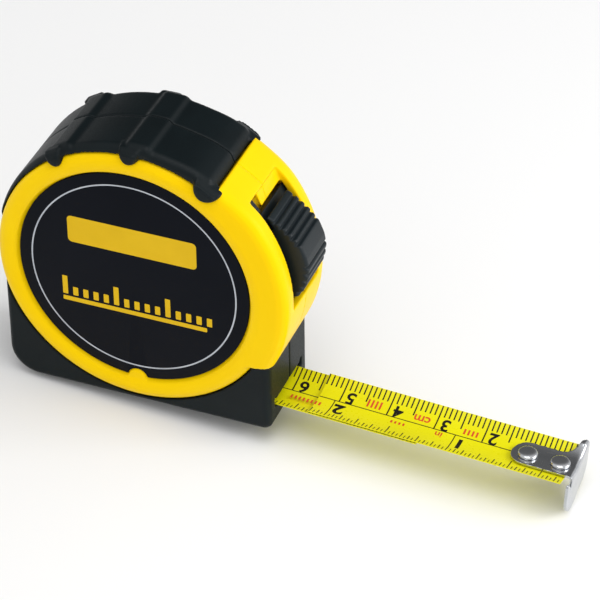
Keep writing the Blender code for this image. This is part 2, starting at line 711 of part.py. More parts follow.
# ---------------------------------------------------------------- belt clip
def make_clip(look, screw_look):
    """Steel strip: its foot lies on the rear label, its spring leg stands off."""
    face, bend = FACE_Y + GAP, CLIP_BEND
    off = face + CLIP_T + CLIP_OFF
    top, foot = CLIP_TOP_Z, CLIP_FOOT_Z
    path = [(face, CLIP_SCREW_Z - 8.0), (face, top - bend), (face + bend * 0.4, top), (off - bend * 0.3, top),
            (off, top - bend), (off - CLIP_PINCH, foot + 5.0), (off + 0.6, foot)]
    bm = bmesh.new()
    half = CLIP_W / 2
    outer = offset_path(path, CLIP_T)
    ring = path + list(reversed(outer))
    near = [bm.verts.new(Vector((-half, y, z)) * MM) for y, z in ring]
    far = [bm.verts.new(Vector((half, y, z)) * MM) for y, z in ring]
    count = len(ring)
    for i in range(count):
        j = (i + 1) % count
        bm.faces.new((near[i], near[j], far[j], far[i]))
    for k in range(len(path) - 1):
        for side in (near, far):
            bm.faces.new((side[k], side[k + 1], side[count - 2 - k], side[count - 1 - k]))
    clip = finish_mesh("belt_clip", bm, look)
    r, shank = CLIP_SCREW_R, CLIP_SCREW_R * 0.5
    way = shank + SEAT_GAP
    hole = turned("clip_hole", [(0.0, off + 6), (way, off + 6), (way, face - 1), (0.0, face - 1)],
                  (0.0, CLIP_SCREW_Z), steps=20)
    cut(clip, hole)
    seat, floor = face + CLIP_T + 0.1, FACE_Y + 0.1
    profile = [(0.0, seat + 1.2), (r * 0.6, seat + 1.1), (r, seat + 0.5), (r, seat), (shank, seat),
               (shank, floor), (0.0, floor)]
    screw = turned("belt_clip_screw", profile, (0.0, CLIP_SCREW_Z), screw_look, steps=24)
    return clip, screw


def offset_path(path, distance):
    """Path moved to its left-hand side by a constant distance, mitred at its corners."""
    made = []
    for k, spot in enumerate(path):
        here = Vector(spot)
        before = (here - Vector(path[k - 1])).normalized() if k else None
        after = (Vector(path[k + 1]) - here).normalized() if k < len(path) - 1 else None
        before = before or after
        after = after or before
        normals = [Vector((-d.y, d.x)) for d in (before, after)]
        mitre = (normals[0] + normals[1]).normalized()
        reach = distance / max(0.3, mitre.dot(normals[0]))
        made.append(tuple(here - mitre * reach))
    return made


# ---------------------------------------------------------------- build
def build():
    for old in list(bpy.data.objects):
        bpy.data.objects.remove(old, do_unlink=True)

    yellow = material("case_yellow", YELLOW, 0.38)
    rubber = material("grip_black", BLACK, 0.55)
    label = material("label_black", (0.012, 0.014, 0.022, 1.0), 0.3)
    button = material("lock_black", (0.024, 0.030, 0.034, 1.0), 0.42)
    pad = material("brake_rubber", (0.05, 0.05, 0.05, 1.0), 0.8)
    blade = material("blade_yellow", (0.88, 0.80, 0.02, 1.0), 0.35)
    steel = material("bright_steel", STEEL, 0.25, 1.0)
    dark_steel = material("spring_steel", (0.20, 0.21, 0.23, 1.0), 0.35, 1.0)
    white = material("drum_white", (0.75, 0.74, 0.70, 1.0), 0.5)

    make_shell("front_shell", -1, yellow, False)
    make_shell("rear_shell", 1, yellow, True)
    make_grip("front_grip", -1, rubber, False)
    make_grip("rear_grip", 1, rubber, True)
    make_label("front_label", -1, label)
    make_label("rear_label", 1, label)
    for index in range(len(SCREW_PLACES)):
        make_screw(index, dark_steel)
    make_lock(button, pad)
    make_blade(blade)
    make_hook(steel)
    for index in range(len(RIVET_US)):
        make_rivet(index, steel)
    make_drum(white, blade, dark_steel)
    make_clip(steel, dark_steel)


build()
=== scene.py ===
import math

import bmesh
import bpy
from mathutils import Matrix, Vector


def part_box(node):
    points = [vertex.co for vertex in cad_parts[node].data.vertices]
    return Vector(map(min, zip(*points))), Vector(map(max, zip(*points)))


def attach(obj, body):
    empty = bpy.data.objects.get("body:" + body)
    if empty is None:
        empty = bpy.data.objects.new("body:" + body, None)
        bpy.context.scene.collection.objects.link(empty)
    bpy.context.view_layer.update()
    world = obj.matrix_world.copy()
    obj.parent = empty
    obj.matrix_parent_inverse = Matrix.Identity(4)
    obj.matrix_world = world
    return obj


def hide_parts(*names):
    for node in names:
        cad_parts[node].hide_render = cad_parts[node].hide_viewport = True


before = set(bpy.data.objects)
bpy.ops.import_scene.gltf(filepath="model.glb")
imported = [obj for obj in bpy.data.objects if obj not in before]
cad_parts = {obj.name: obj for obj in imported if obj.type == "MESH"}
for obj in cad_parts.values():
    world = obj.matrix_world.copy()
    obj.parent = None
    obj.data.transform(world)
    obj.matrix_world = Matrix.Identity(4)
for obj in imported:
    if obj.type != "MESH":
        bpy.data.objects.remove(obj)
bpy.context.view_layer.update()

mm = 0.001
weld = 1e-7                                          # corners this close become one
spindleLow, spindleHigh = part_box("centre_spindle")
gripLow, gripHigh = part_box("front_grip")
axisZ = (spindleLow.z + spindleHigh.z) / 2 / mm      # drum's axis over the base
endX = gripHigh.x / mm                               # end face with the blade's mouth
backX = gripLow.x / mm                               # back of the case
print("frame loaded:", len(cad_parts), "solids")

# sizes that several pieces share, in mm; angles go round the drum's axis from +X
caseShape = {
    "ring": 29.0, "crest": 11.2, "plateIn": 8.4,     # raised round face
    "label": 24.4, "labelGap": 0.3, "face": 10.2,    # disc in the middle of it
    "wall": 27.0, "wallThick": 1.6, "wallGap": 0.3,  # round wall inside the grip
    "shoulder": 32.3, "shoulderY": 10.6, "shoulderTop": 54.2, "shoulderFootZ": 15.6,
    "grip": 30.3, "gripShiftX": 0.9, "gripShiftZ": 0.7, "gripEnd": 54.8,
    "lugs": [(121.2, 3.6), (89.0, 4.3), (57.4, 5.8)]}    # angle and width of each
bladeShape = {"mouthZ": 3.0, "drop": 3.15, "width": 12.7, "thick": 0.2, "sag": 1.5, "face": 60.6}

# ways through shell and grip for the lock's arm and the blade
wayShape = {"arm": (-66.0, -4.0), "armTop": 30.4, "armHalf": 3.5, "blade": (-53.5, 6.0)}

tilt = math.radians(bladeShape["drop"])
mouth = Vector((endX, 0.0, bladeShape["mouthZ"])) * mm
bore = caseShape["wall"] + caseShape["wallGap"]
tabCentre = (0.0, axisZ - caseShape["label"] - caseShape["labelGap"])   # at the label's foot


def onCase(r, degrees, y):
    a = math.radians(degrees)
    return Vector((r * math.cos(a), y, axisZ + r * math.sin(a))) * mm


def onBlade(u, y, w):
    # along the blade from the mouth, across it, and up from the underside of its middle
    return mouth + Vector((u * math.cos(tilt) + w * math.sin(tilt), y,
                           w * math.cos(tilt) - u * math.sin(tilt))) * mm


def bladeLift(y):
    return bladeShape["sag"] * (2 * y / bladeShape["width"]) ** 2


def bladeSlope(y):
    return math.atan(2 * bladeShape["sag"] * y / (bladeShape["width"] / 2) ** 2)


def angleAtHeight(r, z):
    return math.degrees(math.asin((z - axisZ) / r))


def ease(t):
    t = min(1.0, max(0.0, t))
    return t * t * (3 - 2 * t)


def corners(a0, a1, b0, b1):
    return [(a0, b0), (a1, b0), (a1, b1), (a0, b1)]


def arc(x, z, r, start, end, steps):
    made = []
    for k in range(steps + 1):
        a = math.radians(start + (end - start) * k / steps)
        made.append((x + r * math.cos(a), z + r * math.sin(a)))
    return made


# from points and faces to objects
def linked(name, data):
    obj = bpy.data.objects.new(name, data)
    bpy.context.collection.objects.link(obj)
    return obj


def newObject(name, points, faces, sharp=40):
    mesh = bpy.data.meshes.new(name)
    mesh.from_pydata(points, [], faces)
    tidyMesh(mesh)
    obj = linked(name, mesh)
    shade(obj, sharp)
    return obj


def fromBmesh(name, bm):
    mesh = bpy.data.meshes.new(name)
    bm.to_mesh(mesh)
    bm.free()
    return linked(name, mesh)


def tidyMesh(mesh):
    bm = bmesh.new()
    bm.from_mesh(mesh)
    bmesh.ops.remove_doubles(bm, verts=bm.verts, dist=weld)
    bmesh.ops.recalc_face_normals(bm, faces=bm.faces)
    bm.to_mesh(mesh)
    bm.free()


def shade(obj, sharp):
    obj.data.shade_smooth()
    obj.data.set_sharp_from_angle(angle=math.radians(sharp))


def settled(obj):
    graph = bpy.context.evaluated_depsgraph_get()
    return bpy.data.meshes.new_from_object(obj.evaluated_get(graph), depsgraph=graph)


def settle(obj):
    # bake the modifiers into the mesh
    mesh = settled(obj)
    obj.modifiers.clear()
    obj.data = mesh
    return obj


def cutOut(obj, *cutters):
    for cutter in cutters:
        step = obj.modifiers.new("cut", "BOOLEAN")
        step.object = cutter
        step.operation = "DIFFERENCE"
        step.solver = "EXACT"
    return settle(obj)


def drop(*objects):
    for obj in objects:
        bpy.data.objects.remove(obj, do_unlink=True)


def mould(name, parts, look):
    # melts the parts into one skin with small fillets, the way a mould gives them
    bm = bmesh.new()
    for part in parts:
        bm.from_mesh(part.data)
    drop(*parts)
    obj = fromBmesh(name, bm)
    skin = obj.modifiers.new("skin", "REMESH")
    skin.mode = "VOXEL"
    skin.voxel_size = look["voxel"] * mm
    soften = obj.modifiers.new("soften", "SMOOTH")
    soften.factor = 0.5
    soften.iterations = look["rounds"]
    thin = obj.modifiers.new("thin", "DECIMATE")
    thin.ratio = look["keep"]
    settle(obj)
    shade(obj, 60)
    print("moulded", name, len(obj.data.polygons), "faces")
    return obj


def bevelled(obj, width, segments=2, angle=35, sharp=50):
    step = obj.modifiers.new("edge", "BEVEL")
    step.width = width * mm
    step.segments = segments
    step.limit_method = "ANGLE"
    step.angle_limit = math.radians(angle)
    settle(obj)
    shade(obj, sharp)
    return obj


def sweepRound(name, profile, place, steps, whole=False):
    # closed profile of (r, y), carried round by place(r, y, t) with t from 0 to 1
    count = steps if whole else steps + 1
    points = [place(r, y, k / steps) for r, y in profile for k in range(count)]
    faces = []
    for i in range(len(profile)):
        j = (i + 1) % len(profile)
        if whole and profile[i][0] == profile[j][0] == 0:
            continue                                 # both on the axis
        for k in range(steps):
            m = (k + 1) % count
            faces.append((i * count + k, i * count + m, j * count + m, j * count + k))
    if not whole:
        faces.append([i * count for i in range(len(profile))])
        faces.append([i * count + steps for i in reversed(range(len(profile)))])
    return newObject(name, points, faces)


def turned(name, profile, steps=240, centre=None):
    x, z = centre or (0.0, axisZ)

    def place(r, y, t):
        a = 2 * math.pi * t
        return Vector((x + r * math.cos(a), y, z + r * math.sin(a))) * mm
    return sweepRound(name, profile, place, steps, whole=True)


def sector(name, radii, degrees, ys, steps=40):
    start, end = degrees
    return sweepRound(name, corners(*radii, *ys),
                      lambda r, y, t: onCase(r, start + (end - start) * t, y), steps)


def loftFaces(count, levels, first=0):
    # sides between equal loops of points, and a cap at each end
    last = first + count * levels - 1
    faces = [[first + k for k in range(count)], [last - k for k in range(count)]]
    for start in range(first, last - count, count):
        for k in range(count):
            a, b = start + k, start + (k + 1) % count
            faces.append((a, b, b + count, a + count))
    return faces


def loft(name, loops, sharp=40):
    points = [point for loop in loops for point in loop]
    return newObject(name, points, loftFaces(len(loops[0]), len(loops)), sharp)


def prism(name, outline, ys):
    # outline of (x, z), carried across
    return loft(name, [[Vector((x, y, z)) * mm for x, z in outline] for y in ys])


def bladePrism(name, outline, span):
    # outline of (y, w), carried along the blade
    return loft(name, [[onBlade(u, y, w) for y, w in outline] for u in span])


def drawnIn(points, inset):
    # the run of outer points, moved towards the drum's axis by the inset
    moved = []
    for x, z in points:
        far = math.hypot(x, z - axisZ)
        moved.append((x * (1 - inset / far), axisZ + (z - axisZ) * (1 - inset / far)))
    return moved


def layered(name, outer, inner, levels):
    # block across y whose outer edge draws in by the inset of each level
    return loft(name, [[Vector((x, y, z)) * mm for x, z in drawnIn(outer, inset) + inner(root)]
                       for y, inset, root in levels])


def thicken(bm, high):
    # second layer over the flat sheet, joined to it round the rim
    grown = bmesh.ops.extrude_face_region(bm, geom=bm.faces[:], use_keep_orig=True)
    for item in grown["geom"]:
        if isinstance(item, bmesh.types.BMVert):
            item.co.z = high


def sliced(bm, axis, spots, near):
    # extra edges across the flat sheet, so that it can bend
    normal = [float(axis == k) for k in range(3)]
    for spot in spots:
        bmesh.ops.bisect_plane(bm, geom=bm.verts[:] + bm.edges[:] + bm.faces[:], dist=near,
                               plane_co=[spot * part for part in normal], plane_no=normal)


# finishes: two tones in soft clouds, and a fine grain in gloss and bump; sizes in mm
noiseSpan = (0.3, 0.7)                               # most of a noise's values lie between
finishLooks = {
    "yellowPlastic": {
        "tone": (0.94, 0.60, 0.001), "tone2": (0.96, 0.64, 0.001), "cloud": 14.0, "grain": 0.5,
        "rough": (0.32, 0.40), "bump": (0.10, 0.02),
        "fixed": {"Specular IOR Level": 0.16, "Specular Tint": (1.0, 0.80, 0.25, 1.0)}},
    "gripRubber": {
        "tone": (0.0016, 0.0046, 0.0058), "tone2": (0.0032, 0.0074, 0.0090), "cloud": 9.0,
        "grain": 0.32, "rough": (0.38, 0.50), "bump": (0.30, 0.04),
        "fixed": {"Specular IOR Level": 0.16}},
    "labelFilm": {
        "tone": (0.0030, 0.0040, 0.0072), "tone2": (0.0040, 0.0052, 0.0090), "cloud": 18.0,
        "grain": 0.8, "rough": (0.28, 0.36), "bump": (0.05, 0.01),
        "fixed": {"Specular IOR Level": 0.06}},
    "buttonPlastic": {
        "tone": (0.0060, 0.0105, 0.0130), "tone2": (0.0090, 0.0145, 0.0175), "cloud": 5.0,
        "grain": 0.25, "rough": (0.36, 0.48), "bump": (0.25, 0.03),
        "fixed": {"Specular IOR Level": 0.25}},
    "bladeLacquer": {
        "tone": (0.76, 0.71, 0.003), "tone2": (0.82, 0.77, 0.004), "cloud": 11.0, "grain": 0.6,
        "rough": (0.26, 0.34), "bump": (0.08, 0.01), "fixed": {"Specular IOR Level": 0.3}},
    "brightSteel": {
        "tone": (0.44, 0.46, 0.48), "tone2": (0.55, 0.56, 0.58), "cloud": 4.0, "grain": 0.35,
        "rough": (0.10, 0.22), "bump": (0.12, 0.01), "stretch": (0.15, 1.0, 1.0),
        "fixed": {"Metallic": 1.0}},
    "darkSteel": {
        "tone": (0.20, 0.21, 0.23), "tone2": (0.30, 0.31, 0.33), "cloud": 3.0, "grain": 0.3,
        "rough": (0.28, 0.42), "bump": (0.15, 0.01), "fixed": {"Metallic": 1.0}},
    "drumPlastic": {
        "tone": (0.70, 0.69, 0.64), "tone2": (0.76, 0.75, 0.71), "cloud": 10.0, "grain": 0.5,
        "rough": (0.45, 0.55), "bump": (0.15, 0.02)},
    "padRubber": {
        "tone": (0.03, 0.03, 0.03), "tone2": (0.05, 0.05, 0.05), "cloud": 2.0, "grain": 0.3,
        "rough": (0.7, 0.85), "bump": (0.5, 0.05)},
    "blackInk": {
        "tone": (0.006, 0.006, 0.005), "tone2": (0.012, 0.011, 0.009), "cloud": 3.0, "grain": 0.3,
        "rough": (0.35, 0.5), "bump": (0.1, 0.005), "fixed": {"Specular IOR Level": 0.25}},
    "redInk": {
        "tone": (0.62, 0.07, 0.012), "tone2": (0.70, 0.09, 0.016), "cloud": 3.0, "grain": 0.3,
        "rough": (0.35, 0.5), "bump": (0.1, 0.005)},
    "yellowInk": {
        "tone": (0.72, 0.45, 0.004), "tone2": (0.76, 0.48, 0.006), "cloud": 6.0, "grain": 0.4,
        "rough": (0.4, 0.5), "bump": (0.1, 0.005), "fixed": {"Specular IOR Level": 0.15}},
    "paleInk": {
        "tone": (0.40, 0.43, 0.48), "tone2": (0.50, 0.53, 0.58), "cloud": 6.0, "grain": 0.4,
        "rough": (0.35, 0.45), "bump": (0.1, 0.005)}}


def finish(name, look):
    made = bpy.data.materials.new(name)
    made.use_nodes = True
    nodes, links = made.node_tree.nodes, made.node_tree.links
    shader = nodes["Principled BSDF"]
    for socket, value in look.get("fixed", {}).items():
        shader.inputs[socket].default_value = value
    coords = nodes.new("ShaderNodeTexCoord")
    stretch = nodes.new("ShaderNodeMapping")
    stretch.inputs["Scale"].default_value = look.get("stretch", (1, 1, 1))
    links.new(coords.outputs["Object"], stretch.inputs["Vector"])

    def noise(size, detail):
        texture = nodes.new("ShaderNodeTexNoise")
        texture.inputs["Scale"].default_value = 1 / (size * mm)
        texture.inputs["Detail"].default_value = detail
        links.new(stretch.outputs["Vector"], texture.inputs["Vector"])
        return texture.outputs["Fac"]

    cloud = noise(look["cloud"], 3.0)                # slow change of tone
    tones = nodes.new("ShaderNodeValToRGB")
    for stop, spot, tone in zip(tones.color_ramp.elements, noiseSpan, ("tone", "tone2")):
        stop.position = spot
        stop.color = (*look[tone], 1.0)
    links.new(cloud, tones.inputs["Fac"])
    links.new(tones.outputs["Color"], shader.inputs["Base Color"])

    grain = noise(look["grain"], 4.0)                # fine texture of the surface
    gloss = nodes.new("ShaderNodeMapRange")
    gloss.inputs["From Min"].default_value, gloss.inputs["From Max"].default_value = noiseSpan
    gloss.inputs["To Min"].default_value, gloss.inputs["To Max"].default_value = look["rough"]
    links.new(grain, gloss.inputs["Value"])
    links.new(gloss.outputs["Result"], shader.inputs["Roughness"])
    bump = nodes.new("ShaderNodeBump")
    bump.inputs["Strength"].default_value = look["bump"][0]
    bump.inputs["Distance"].default_value = look["bump"][1] * mm
    links.new(grain, bump.inputs["Height"])
    links.new(bump.outputs["Normal"], shader.inputs["Normal"])
    return made


finishes = {name: finish(name, look) for name, look in finishLooks.items()}
print("finishes ready:", len(finishes))


def dress(obj, look, body, slot, *nodes):
    obj.data.materials.clear()
    obj.data.materials.append(finishes[look])
    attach(obj, body)
    if nodes:
        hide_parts(*nodes)
    return obj


# yellow shell: plate with its ring, round wall, and the shoulder round the lock
shellLook = {
    "voxel": 0.24, "rounds": 5, "keep": 0.30, "seam": -0.02,
    "well": 0.5,                                                        # label's seat
    "lip": [(0.36, 0.70), (0.60, 0.42), (1.05, 0.20), (1.6, 0.06), (2.3, 0.0), (3.0, 0.05)],
    "rim": [(1.0, 0.30), (0.5, 0.62), (0.15, 1.1), (0.0, 1.8)],
    "edge": [(0.0, -2.3), (0.12, -1.5), (0.5, -0.75), (1.1, -0.22), (2.0, 0.12), (3.4, 0.36),
             (4.8, 0.52)],                                              # of the shoulder
    "rootIn": 0.8, "flatten": 1.0, "flattenFrom": 34.0, "flattenOver": 21.0,
    "skin": 1.7, "pocket": (-8.0, 45.5), "pocketHalf": 8.0, "slot": (-3.2, 42.6), "slotHalf": 6.5,
    "way": (-7.3, 7.3, -1.3, 3.6),
    "tab": [(0.0, -10.6), (1.7, -10.6), (2.0, -10.3), (2.0, -9.0), (0.0, -9.0)]}
# sloping floor at the slot's upper end
rampLook = {"degrees": (37.3, 44.0), "front": -2.7, "past": 0.4, "under": 30.35, "low": 30.65,
            "rise": 0.75, "haste": 1.2}
railLook = {"radii": (30.45, 31.0), "degrees": (37.0, 42.9), "ys": (-6.9, -4.4), "bevel": 0.1}


def ringProfile(side):
    c, s = caseShape, shellLook
    seat, inner = c["face"] - s["well"], c["wall"] - c["wallThick"]
    points = [(0.0, seat), (c["label"] + c["labelGap"], seat)]
    points += [(c["label"] + out, c["crest"] - down) for out, down in s["lip"]]
    points += [(c["ring"] - back, c["crest"] - down) for back, down in s["rim"]]
    points += [(c["ring"], c["plateIn"]), (c["wall"], c["plateIn"]), (c["wall"], s["seam"]),
               (inner, s["seam"]), (inner, c["plateIn"]), (0.0, c["plateIn"])]
    return [(r, side * y) for r, y in points]


def shoulderRadius(degrees):
    # a little flatter towards the grip
    s = shellLook
    return caseShape["shoulder"] - s["flatten"] * ease((degrees - s["flattenFrom"]) / s["flattenOver"])


def shoulderPart(name, side):
    c, s = caseShape, shellLook
    full, root = c["shoulder"], c["wall"] - s["rootIn"]
    profile = [(root, s["seam"]), (full, s["seam"])]
    profile += [(full - back, c["shoulderY"] + up) for back, up in s["edge"]]
    profile.append((root, profile[-1][1]))

    def place(r, y, t):
        low = angleAtHeight(r, c["shoulderFootZ"])
        degrees = low + (c["shoulderTop"] - low) * t
        share = (r - root) / (full - root)
        return onCase(root + (shoulderRadius(degrees) - root) * share, degrees, side * y)
    return sweepRound(name, profile, place, 150)


def rampPart(side):
    look = rampLook
    start, end = look["degrees"]
    back = shellLook["slotHalf"] + look["past"]
    ys = (look["front"], -shellLook["seam"]) if side < 0 else (shellLook["seam"], back)

    def place(level, y, t):
        r = look["low"] + look["rise"] * ease(t * look["haste"]) if level else look["under"]
        return onCase(r, start + (end - start) * t, y)
    return sweepRound("ramp", corners(0, 1, *ys), place, 24)


def makeArmWay():
    half = wayShape["armHalf"]
    return sector("armWay", (bore, wayShape["armTop"]), wayShape["arm"], (-half, half))


def makeShell(name, side, node):
    c, s = caseShape, shellLook
    plate = turned(name + "Plate", ringProfile(side))
    shoulder = shoulderPart(name + "Shoulder", side)
    skin = c["shoulder"] - s["skin"]
    pocket = sector("pocket", (bore, skin), s["pocket"], (-s["pocketHalf"], s["pocketHalf"]))
    slot = sector("slot", (skin - 0.5, c["shoulder"] + 2), s["slot"], (-s["slotHalf"], s["slotHalf"]))
    arm, way = makeArmWay(), bladePrism("way", corners(*s["way"]), wayShape["blade"])
    cutOut(plate, pocket, arm, way)
    cutOut(shoulder, pocket, slot, arm, way)
    drop(pocket, slot, arm, way)
    parts = [plate, shoulder, rampPart(side)]
    if side < 0:
        parts.insert(2, turned("tab", s["tab"], 40, tabCentre))
    return dress(mould(name, parts, s), "yellowPlastic", "case", "case_yellow", node)


makeShell("yellowShellFront", -1, "front_shell")
makeShell("yellowShellRear", 1, "rear_shell")

# dark rail that shows through the notch beside the button
rail = sector("slotRail", railLook["radii"], railLook["degrees"], railLook["ys"], 12)
dress(bevelled(rail, railLook["bevel"]), "buttonPlastic", "case", "lock_black")
print("shell done")

# soft overmould: base block, back, and the grip over the top
gripLook = {
    "voxel": 0.26, "rounds": 5, "keep": 0.30, "seamY": 0.65, "seamGap": -0.08, "seamEdge": 0.3,
    "face": 10.4, "straight": 1.5, "edge": [(1.0, 0.18), (0.55, 0.5), (0.2, 0.9), (0.0, 1.4)],
    "rootIn": 2, "heel": 6.0, "toe": 1.2, "footGap": 0.12,
    "ridge": 0.75, "ridgeHalf": 6.0, "ridgeSlope": 2.6, "ridgeShift": 1.0,
    "endR": 31.39, "endDrop": 0.75, "endBand": 4.6,
    "swell": 0.35, "swellRise": 3, "swellEnd": 76, "swellFall": 12,
    "ringGap": 0.12, "ringFrom": 8.1, "ringPast": 15.0,
    "mouth": [(-3.2, -0.72), (3.2, -0.72), (7.1, 1.0), (7.1, 3.3), (6.5, 3.3), (6.3, 2.4),
              (-6.3, 2.4), (-6.5, 3.3), (-7.1, 3.3), (-7.1, 1.0)]}
lugLook = {"overRing": 1.5, "rootOut": 0.75, "foot": 8.2, "top": 11.75, "steps": 14,
           "crown": [(1.6, 0.0), (0.8, 0.2), (0.25, 0.5), (0.0, 0.95)], "tipPull": 0.6, "rootPull": 2.2}
gripFootZ = caseShape["shoulderFootZ"] - gripLook["footGap"]


def gripRidge(degrees):
    g, high = gripLook, 0.0
    for lug, _ in caseShape["lugs"][:2]:
        off = abs(degrees - lug + g["ridgeShift"])
        high = max(high, ease((g["ridgeHalf"] - off) / g["ridgeSlope"]))
    return high * g["ridge"]


def gripOuter():
    c, g = caseShape, gripLook
    cx, cz = c["gripShiftX"], axisZ + c["gripShiftZ"]
    tip = math.radians(c["gripEnd"])
    start = math.degrees(math.atan2(math.sin(tip) * g["endR"] - c["gripShiftZ"],
                                    math.cos(tip) * g["endR"] - cx))
    end = 180 - math.degrees(math.acos((cx - backX) / c["grip"]))
    points, steps = [], 220
    for k in range(steps + 1):
        degrees = start + (end - start) * k / steps
        run = degrees - start
        swell = ease(run / g["swellRise"]) * ease((g["swellEnd"] - degrees) / g["swellFall"])
        r = c["grip"] + gripRidge(degrees) + g["swell"] * swell
        r -= g["endDrop"] * (1 - ease(run / g["endBand"]))
        a = math.radians(degrees)
        points.append((cx + r * math.cos(a), cz + r * math.sin(a)))
    points += arc(backX + g["heel"], g["heel"], g["heel"], 180, 270, 18)
    points += arc(endX - g["toe"], g["toe"], g["toe"], 270, 360, 6)
    points.append((endX, gripFootZ))
    return points


def gripInner(r):
    return arc(0.0, axisZ, r, angleAtHeight(r, gripFootZ), caseShape["gripEnd"] - 360, 150)


def lugPart(name, side, degrees, width):
    # finger over the ring: round tip, crowned top
    look, half, a = lugLook, width / 2, math.radians(degrees)
    tip, root = caseShape["ring"] - look["overRing"] + half, caseShape["grip"] + look["rootOut"]
    turns = [math.pi * k / look["steps"] for k in range(1, look["steps"])]
    outline = [(root, -half), (tip, -half)]
    outline += [(tip - half * math.sin(turn), -half * math.cos(turn)) for turn in turns]
    outline += [(tip, half), (root, half)]
    levels = [(look["foot"], 0.0)] + [(look["top"] - down, inset) for down, inset in look["crown"]]
    loops = []
    for y, inset in levels:
        loop = []
        for r, t in outline:
            t *= 1 - inset / half
            r += look["tipPull"] * inset if r < root else -look["rootPull"] * inset
            loop.append(Vector((r * math.cos(a) - t * math.sin(a), side * y,
                                axisZ + r * math.sin(a) + t * math.cos(a))) * mm)
        loops.append(loop)
    return loft(name, loops)


def makeGrip(name, side, node):
    g = gripLook
    seam = g["seamY"] + side * g["seamGap"] / 2
    levels = [(seam, g["seamEdge"], bore), (seam + side * g["seamEdge"], 0.0, bore),
              (side * (g["face"] - g["straight"]), 0.0, bore)]
    levels += [(side * (g["face"] - down), inset, bore - g["rootIn"]) for down, inset in g["edge"]]
    body = layered(name + "Body", gripOuter(), gripInner, levels)
    ring = turned("ringWay", corners(0.0, caseShape["ring"] + g["ringGap"],
                                     side * g["ringFrom"], side * g["ringPast"]))
    arm, way = makeArmWay(), bladePrism("way", g["mouth"], wayShape["blade"])
    cutOut(body, ring, arm, way)
    drop(ring, arm, way)
    parts = [body] + [lugPart(name + "Lug", side, *lug) for lug in caseShape["lugs"]]
    return dress(mould(name, parts, g), "gripRubber", "case", "grip_black", node)


makeGrip("softGripFront", -1, "front_grip")
makeGrip("softGripRear", 1, "rear_grip")
print("grip done")

# labels: dark film with a thin pale circle, and a plain bar and ruler printed on the front
labelLook = {
    "edge": [(0.35, 0.0), (0.1, 0.06), (0.0, 0.2), (0.0, 0.45)], "notch": (0.0, 2.2, -12.0, -8.0),
    "circle": 21.5, "circleWide": 0.3, "ink": 0.03, "plate": (-13.6, 13.6, 36.1, 42.3, 0.9)}
rulerLook = {"half": 15.4, "low": 21.4, "line": 1.0, "lineRound": 0.2, "gap": 2.2, "tickHalf": 0.55,
             "tickFoot": 1.5, "long": 5.9, "short": 3.5, "tickRound": 0.15}


def flatInk(name, outlines):
    y, points, faces = -caseShape["face"], [], []
    for outline in outlines:
        faces += loftFaces(len(outline), 2, len(points))
        for level in (y, y - labelLook["ink"]):
            points += [Vector((x, level, z)) * mm for x, z in outline]
    return dress(newObject(name, points, faces, 30), "yellowInk", "case", "label_black")


def roundedBox(x0, x1, z0, z1, r):
    middles = ((x1 - r, z1 - r), (x0 + r, z1 - r), (x0 + r, z0 + r), (x1 - r, z0 + r))
    return [point for k, (x, z) in enumerate(middles) for point in arc(x, z, r, 90 * k, 90 * k + 90, 6)]


def makeLabel(name, side, node):
    look, r, y = labelLook, caseShape["label"], side * caseShape["face"]
    profile = [(0.0, y)] + [(r - back, y - side * down) for back, down in look["edge"]]
    profile.append((0.0, profile[-1][1]))
    disc = turned(name, profile)
    if side < 0:
        notch = turned("notch", corners(*look["notch"]), 40, tabCentre)
        cutOut(disc, notch)
        drop(notch)
        shade(disc, 40)
    dress(disc, "labelFilm", "case", "label_black", node)
    r0, r1 = look["circle"], look["circle"] + look["circleWide"]
    ink = y + side * look["ink"]
    circle = turned(name + "Circle", [(r0, y), (r0, ink), (r1, ink), (r1, y)])
    dress(circle, "paleInk", "case", "label_black")


def rulerShapes():
    look, half, low = rulerLook, rulerLook["half"], rulerLook["low"]
    shapes = [roundedBox(-half, half, low, low + look["line"], look["lineRound"])]
    for k in range(int(2 * half / look["gap"]) + 1):
        x = -half + look["tickHalf"] + k * look["gap"]
        high = look["long"] if k % 5 == 0 else look["short"]
        shapes.append(roundedBox(x - look["tickHalf"], x + look["tickHalf"], low + look["tickFoot"],
                                 low + high, look["tickRound"]))
    return shapes


makeLabel("filmLabelFront", -1, "front_label")
makeLabel("filmLabelRear", 1, "rear_label")
flatInk("printedBar", [roundedBox(*labelLook["plate"])])
flatInk("printedRuler", rulerShapes())
print("labels done")

# lock button with its ribs, slider and arm; radii in mm, angles in degrees
lockLook = {
    "voxel": 0.12, "rounds": 2, "keep": 0.5, "half": 5.1, "low": 0.9, "steps": 260,
    "crown": [(34.2, 31.95), (33.4, 32.3), (31.2, 33.0), (27.8, 33.9), (24.6, 34.7), (20.4, 35.45),
              (16.0, 35.65), (12.0, 35.5), (9.0, 35.0), (5.5, 34.2), (2.6, 33.2), (1.0, 32.5)],
    "grooves": [31.0, 28.6, 26.2, 23.8, 21.4, 13.2, 10.4, 7.7, 5.1, 2.8],
    "groove": 0.8, "steep": 0.3, "easy": 1.3, "middle": 16,
    "foot": [(30.0, 0.9), (32.2, 0.9)], "head": [(31.75, 33.9), (31.75, 29.5), (31.4, 28.8), (30.0, 28.8)],
    "edge": [(0.0, 0.45), (0.16, 0.16), (0.5, 0.0)], "edgeFrom": 31.9,
    "slider": ((28.4, 30.2), (-6.0, 35.5), (-7.6, 7.6), 60),
    "arm": ((28.4, 29.6), (-56.6, -5.0), (-3.0, 3.0), 70)}


def crownRadius(degrees):
    spots = lockLook["crown"]
    for (a0, r0), (a1, r1) in zip(spots, spots[1:]):
        if a1 <= degrees <= a0:
            return r1 + (r0 - r1) * (degrees - a1) / (a0 - a1)
    return spots[-1][1]


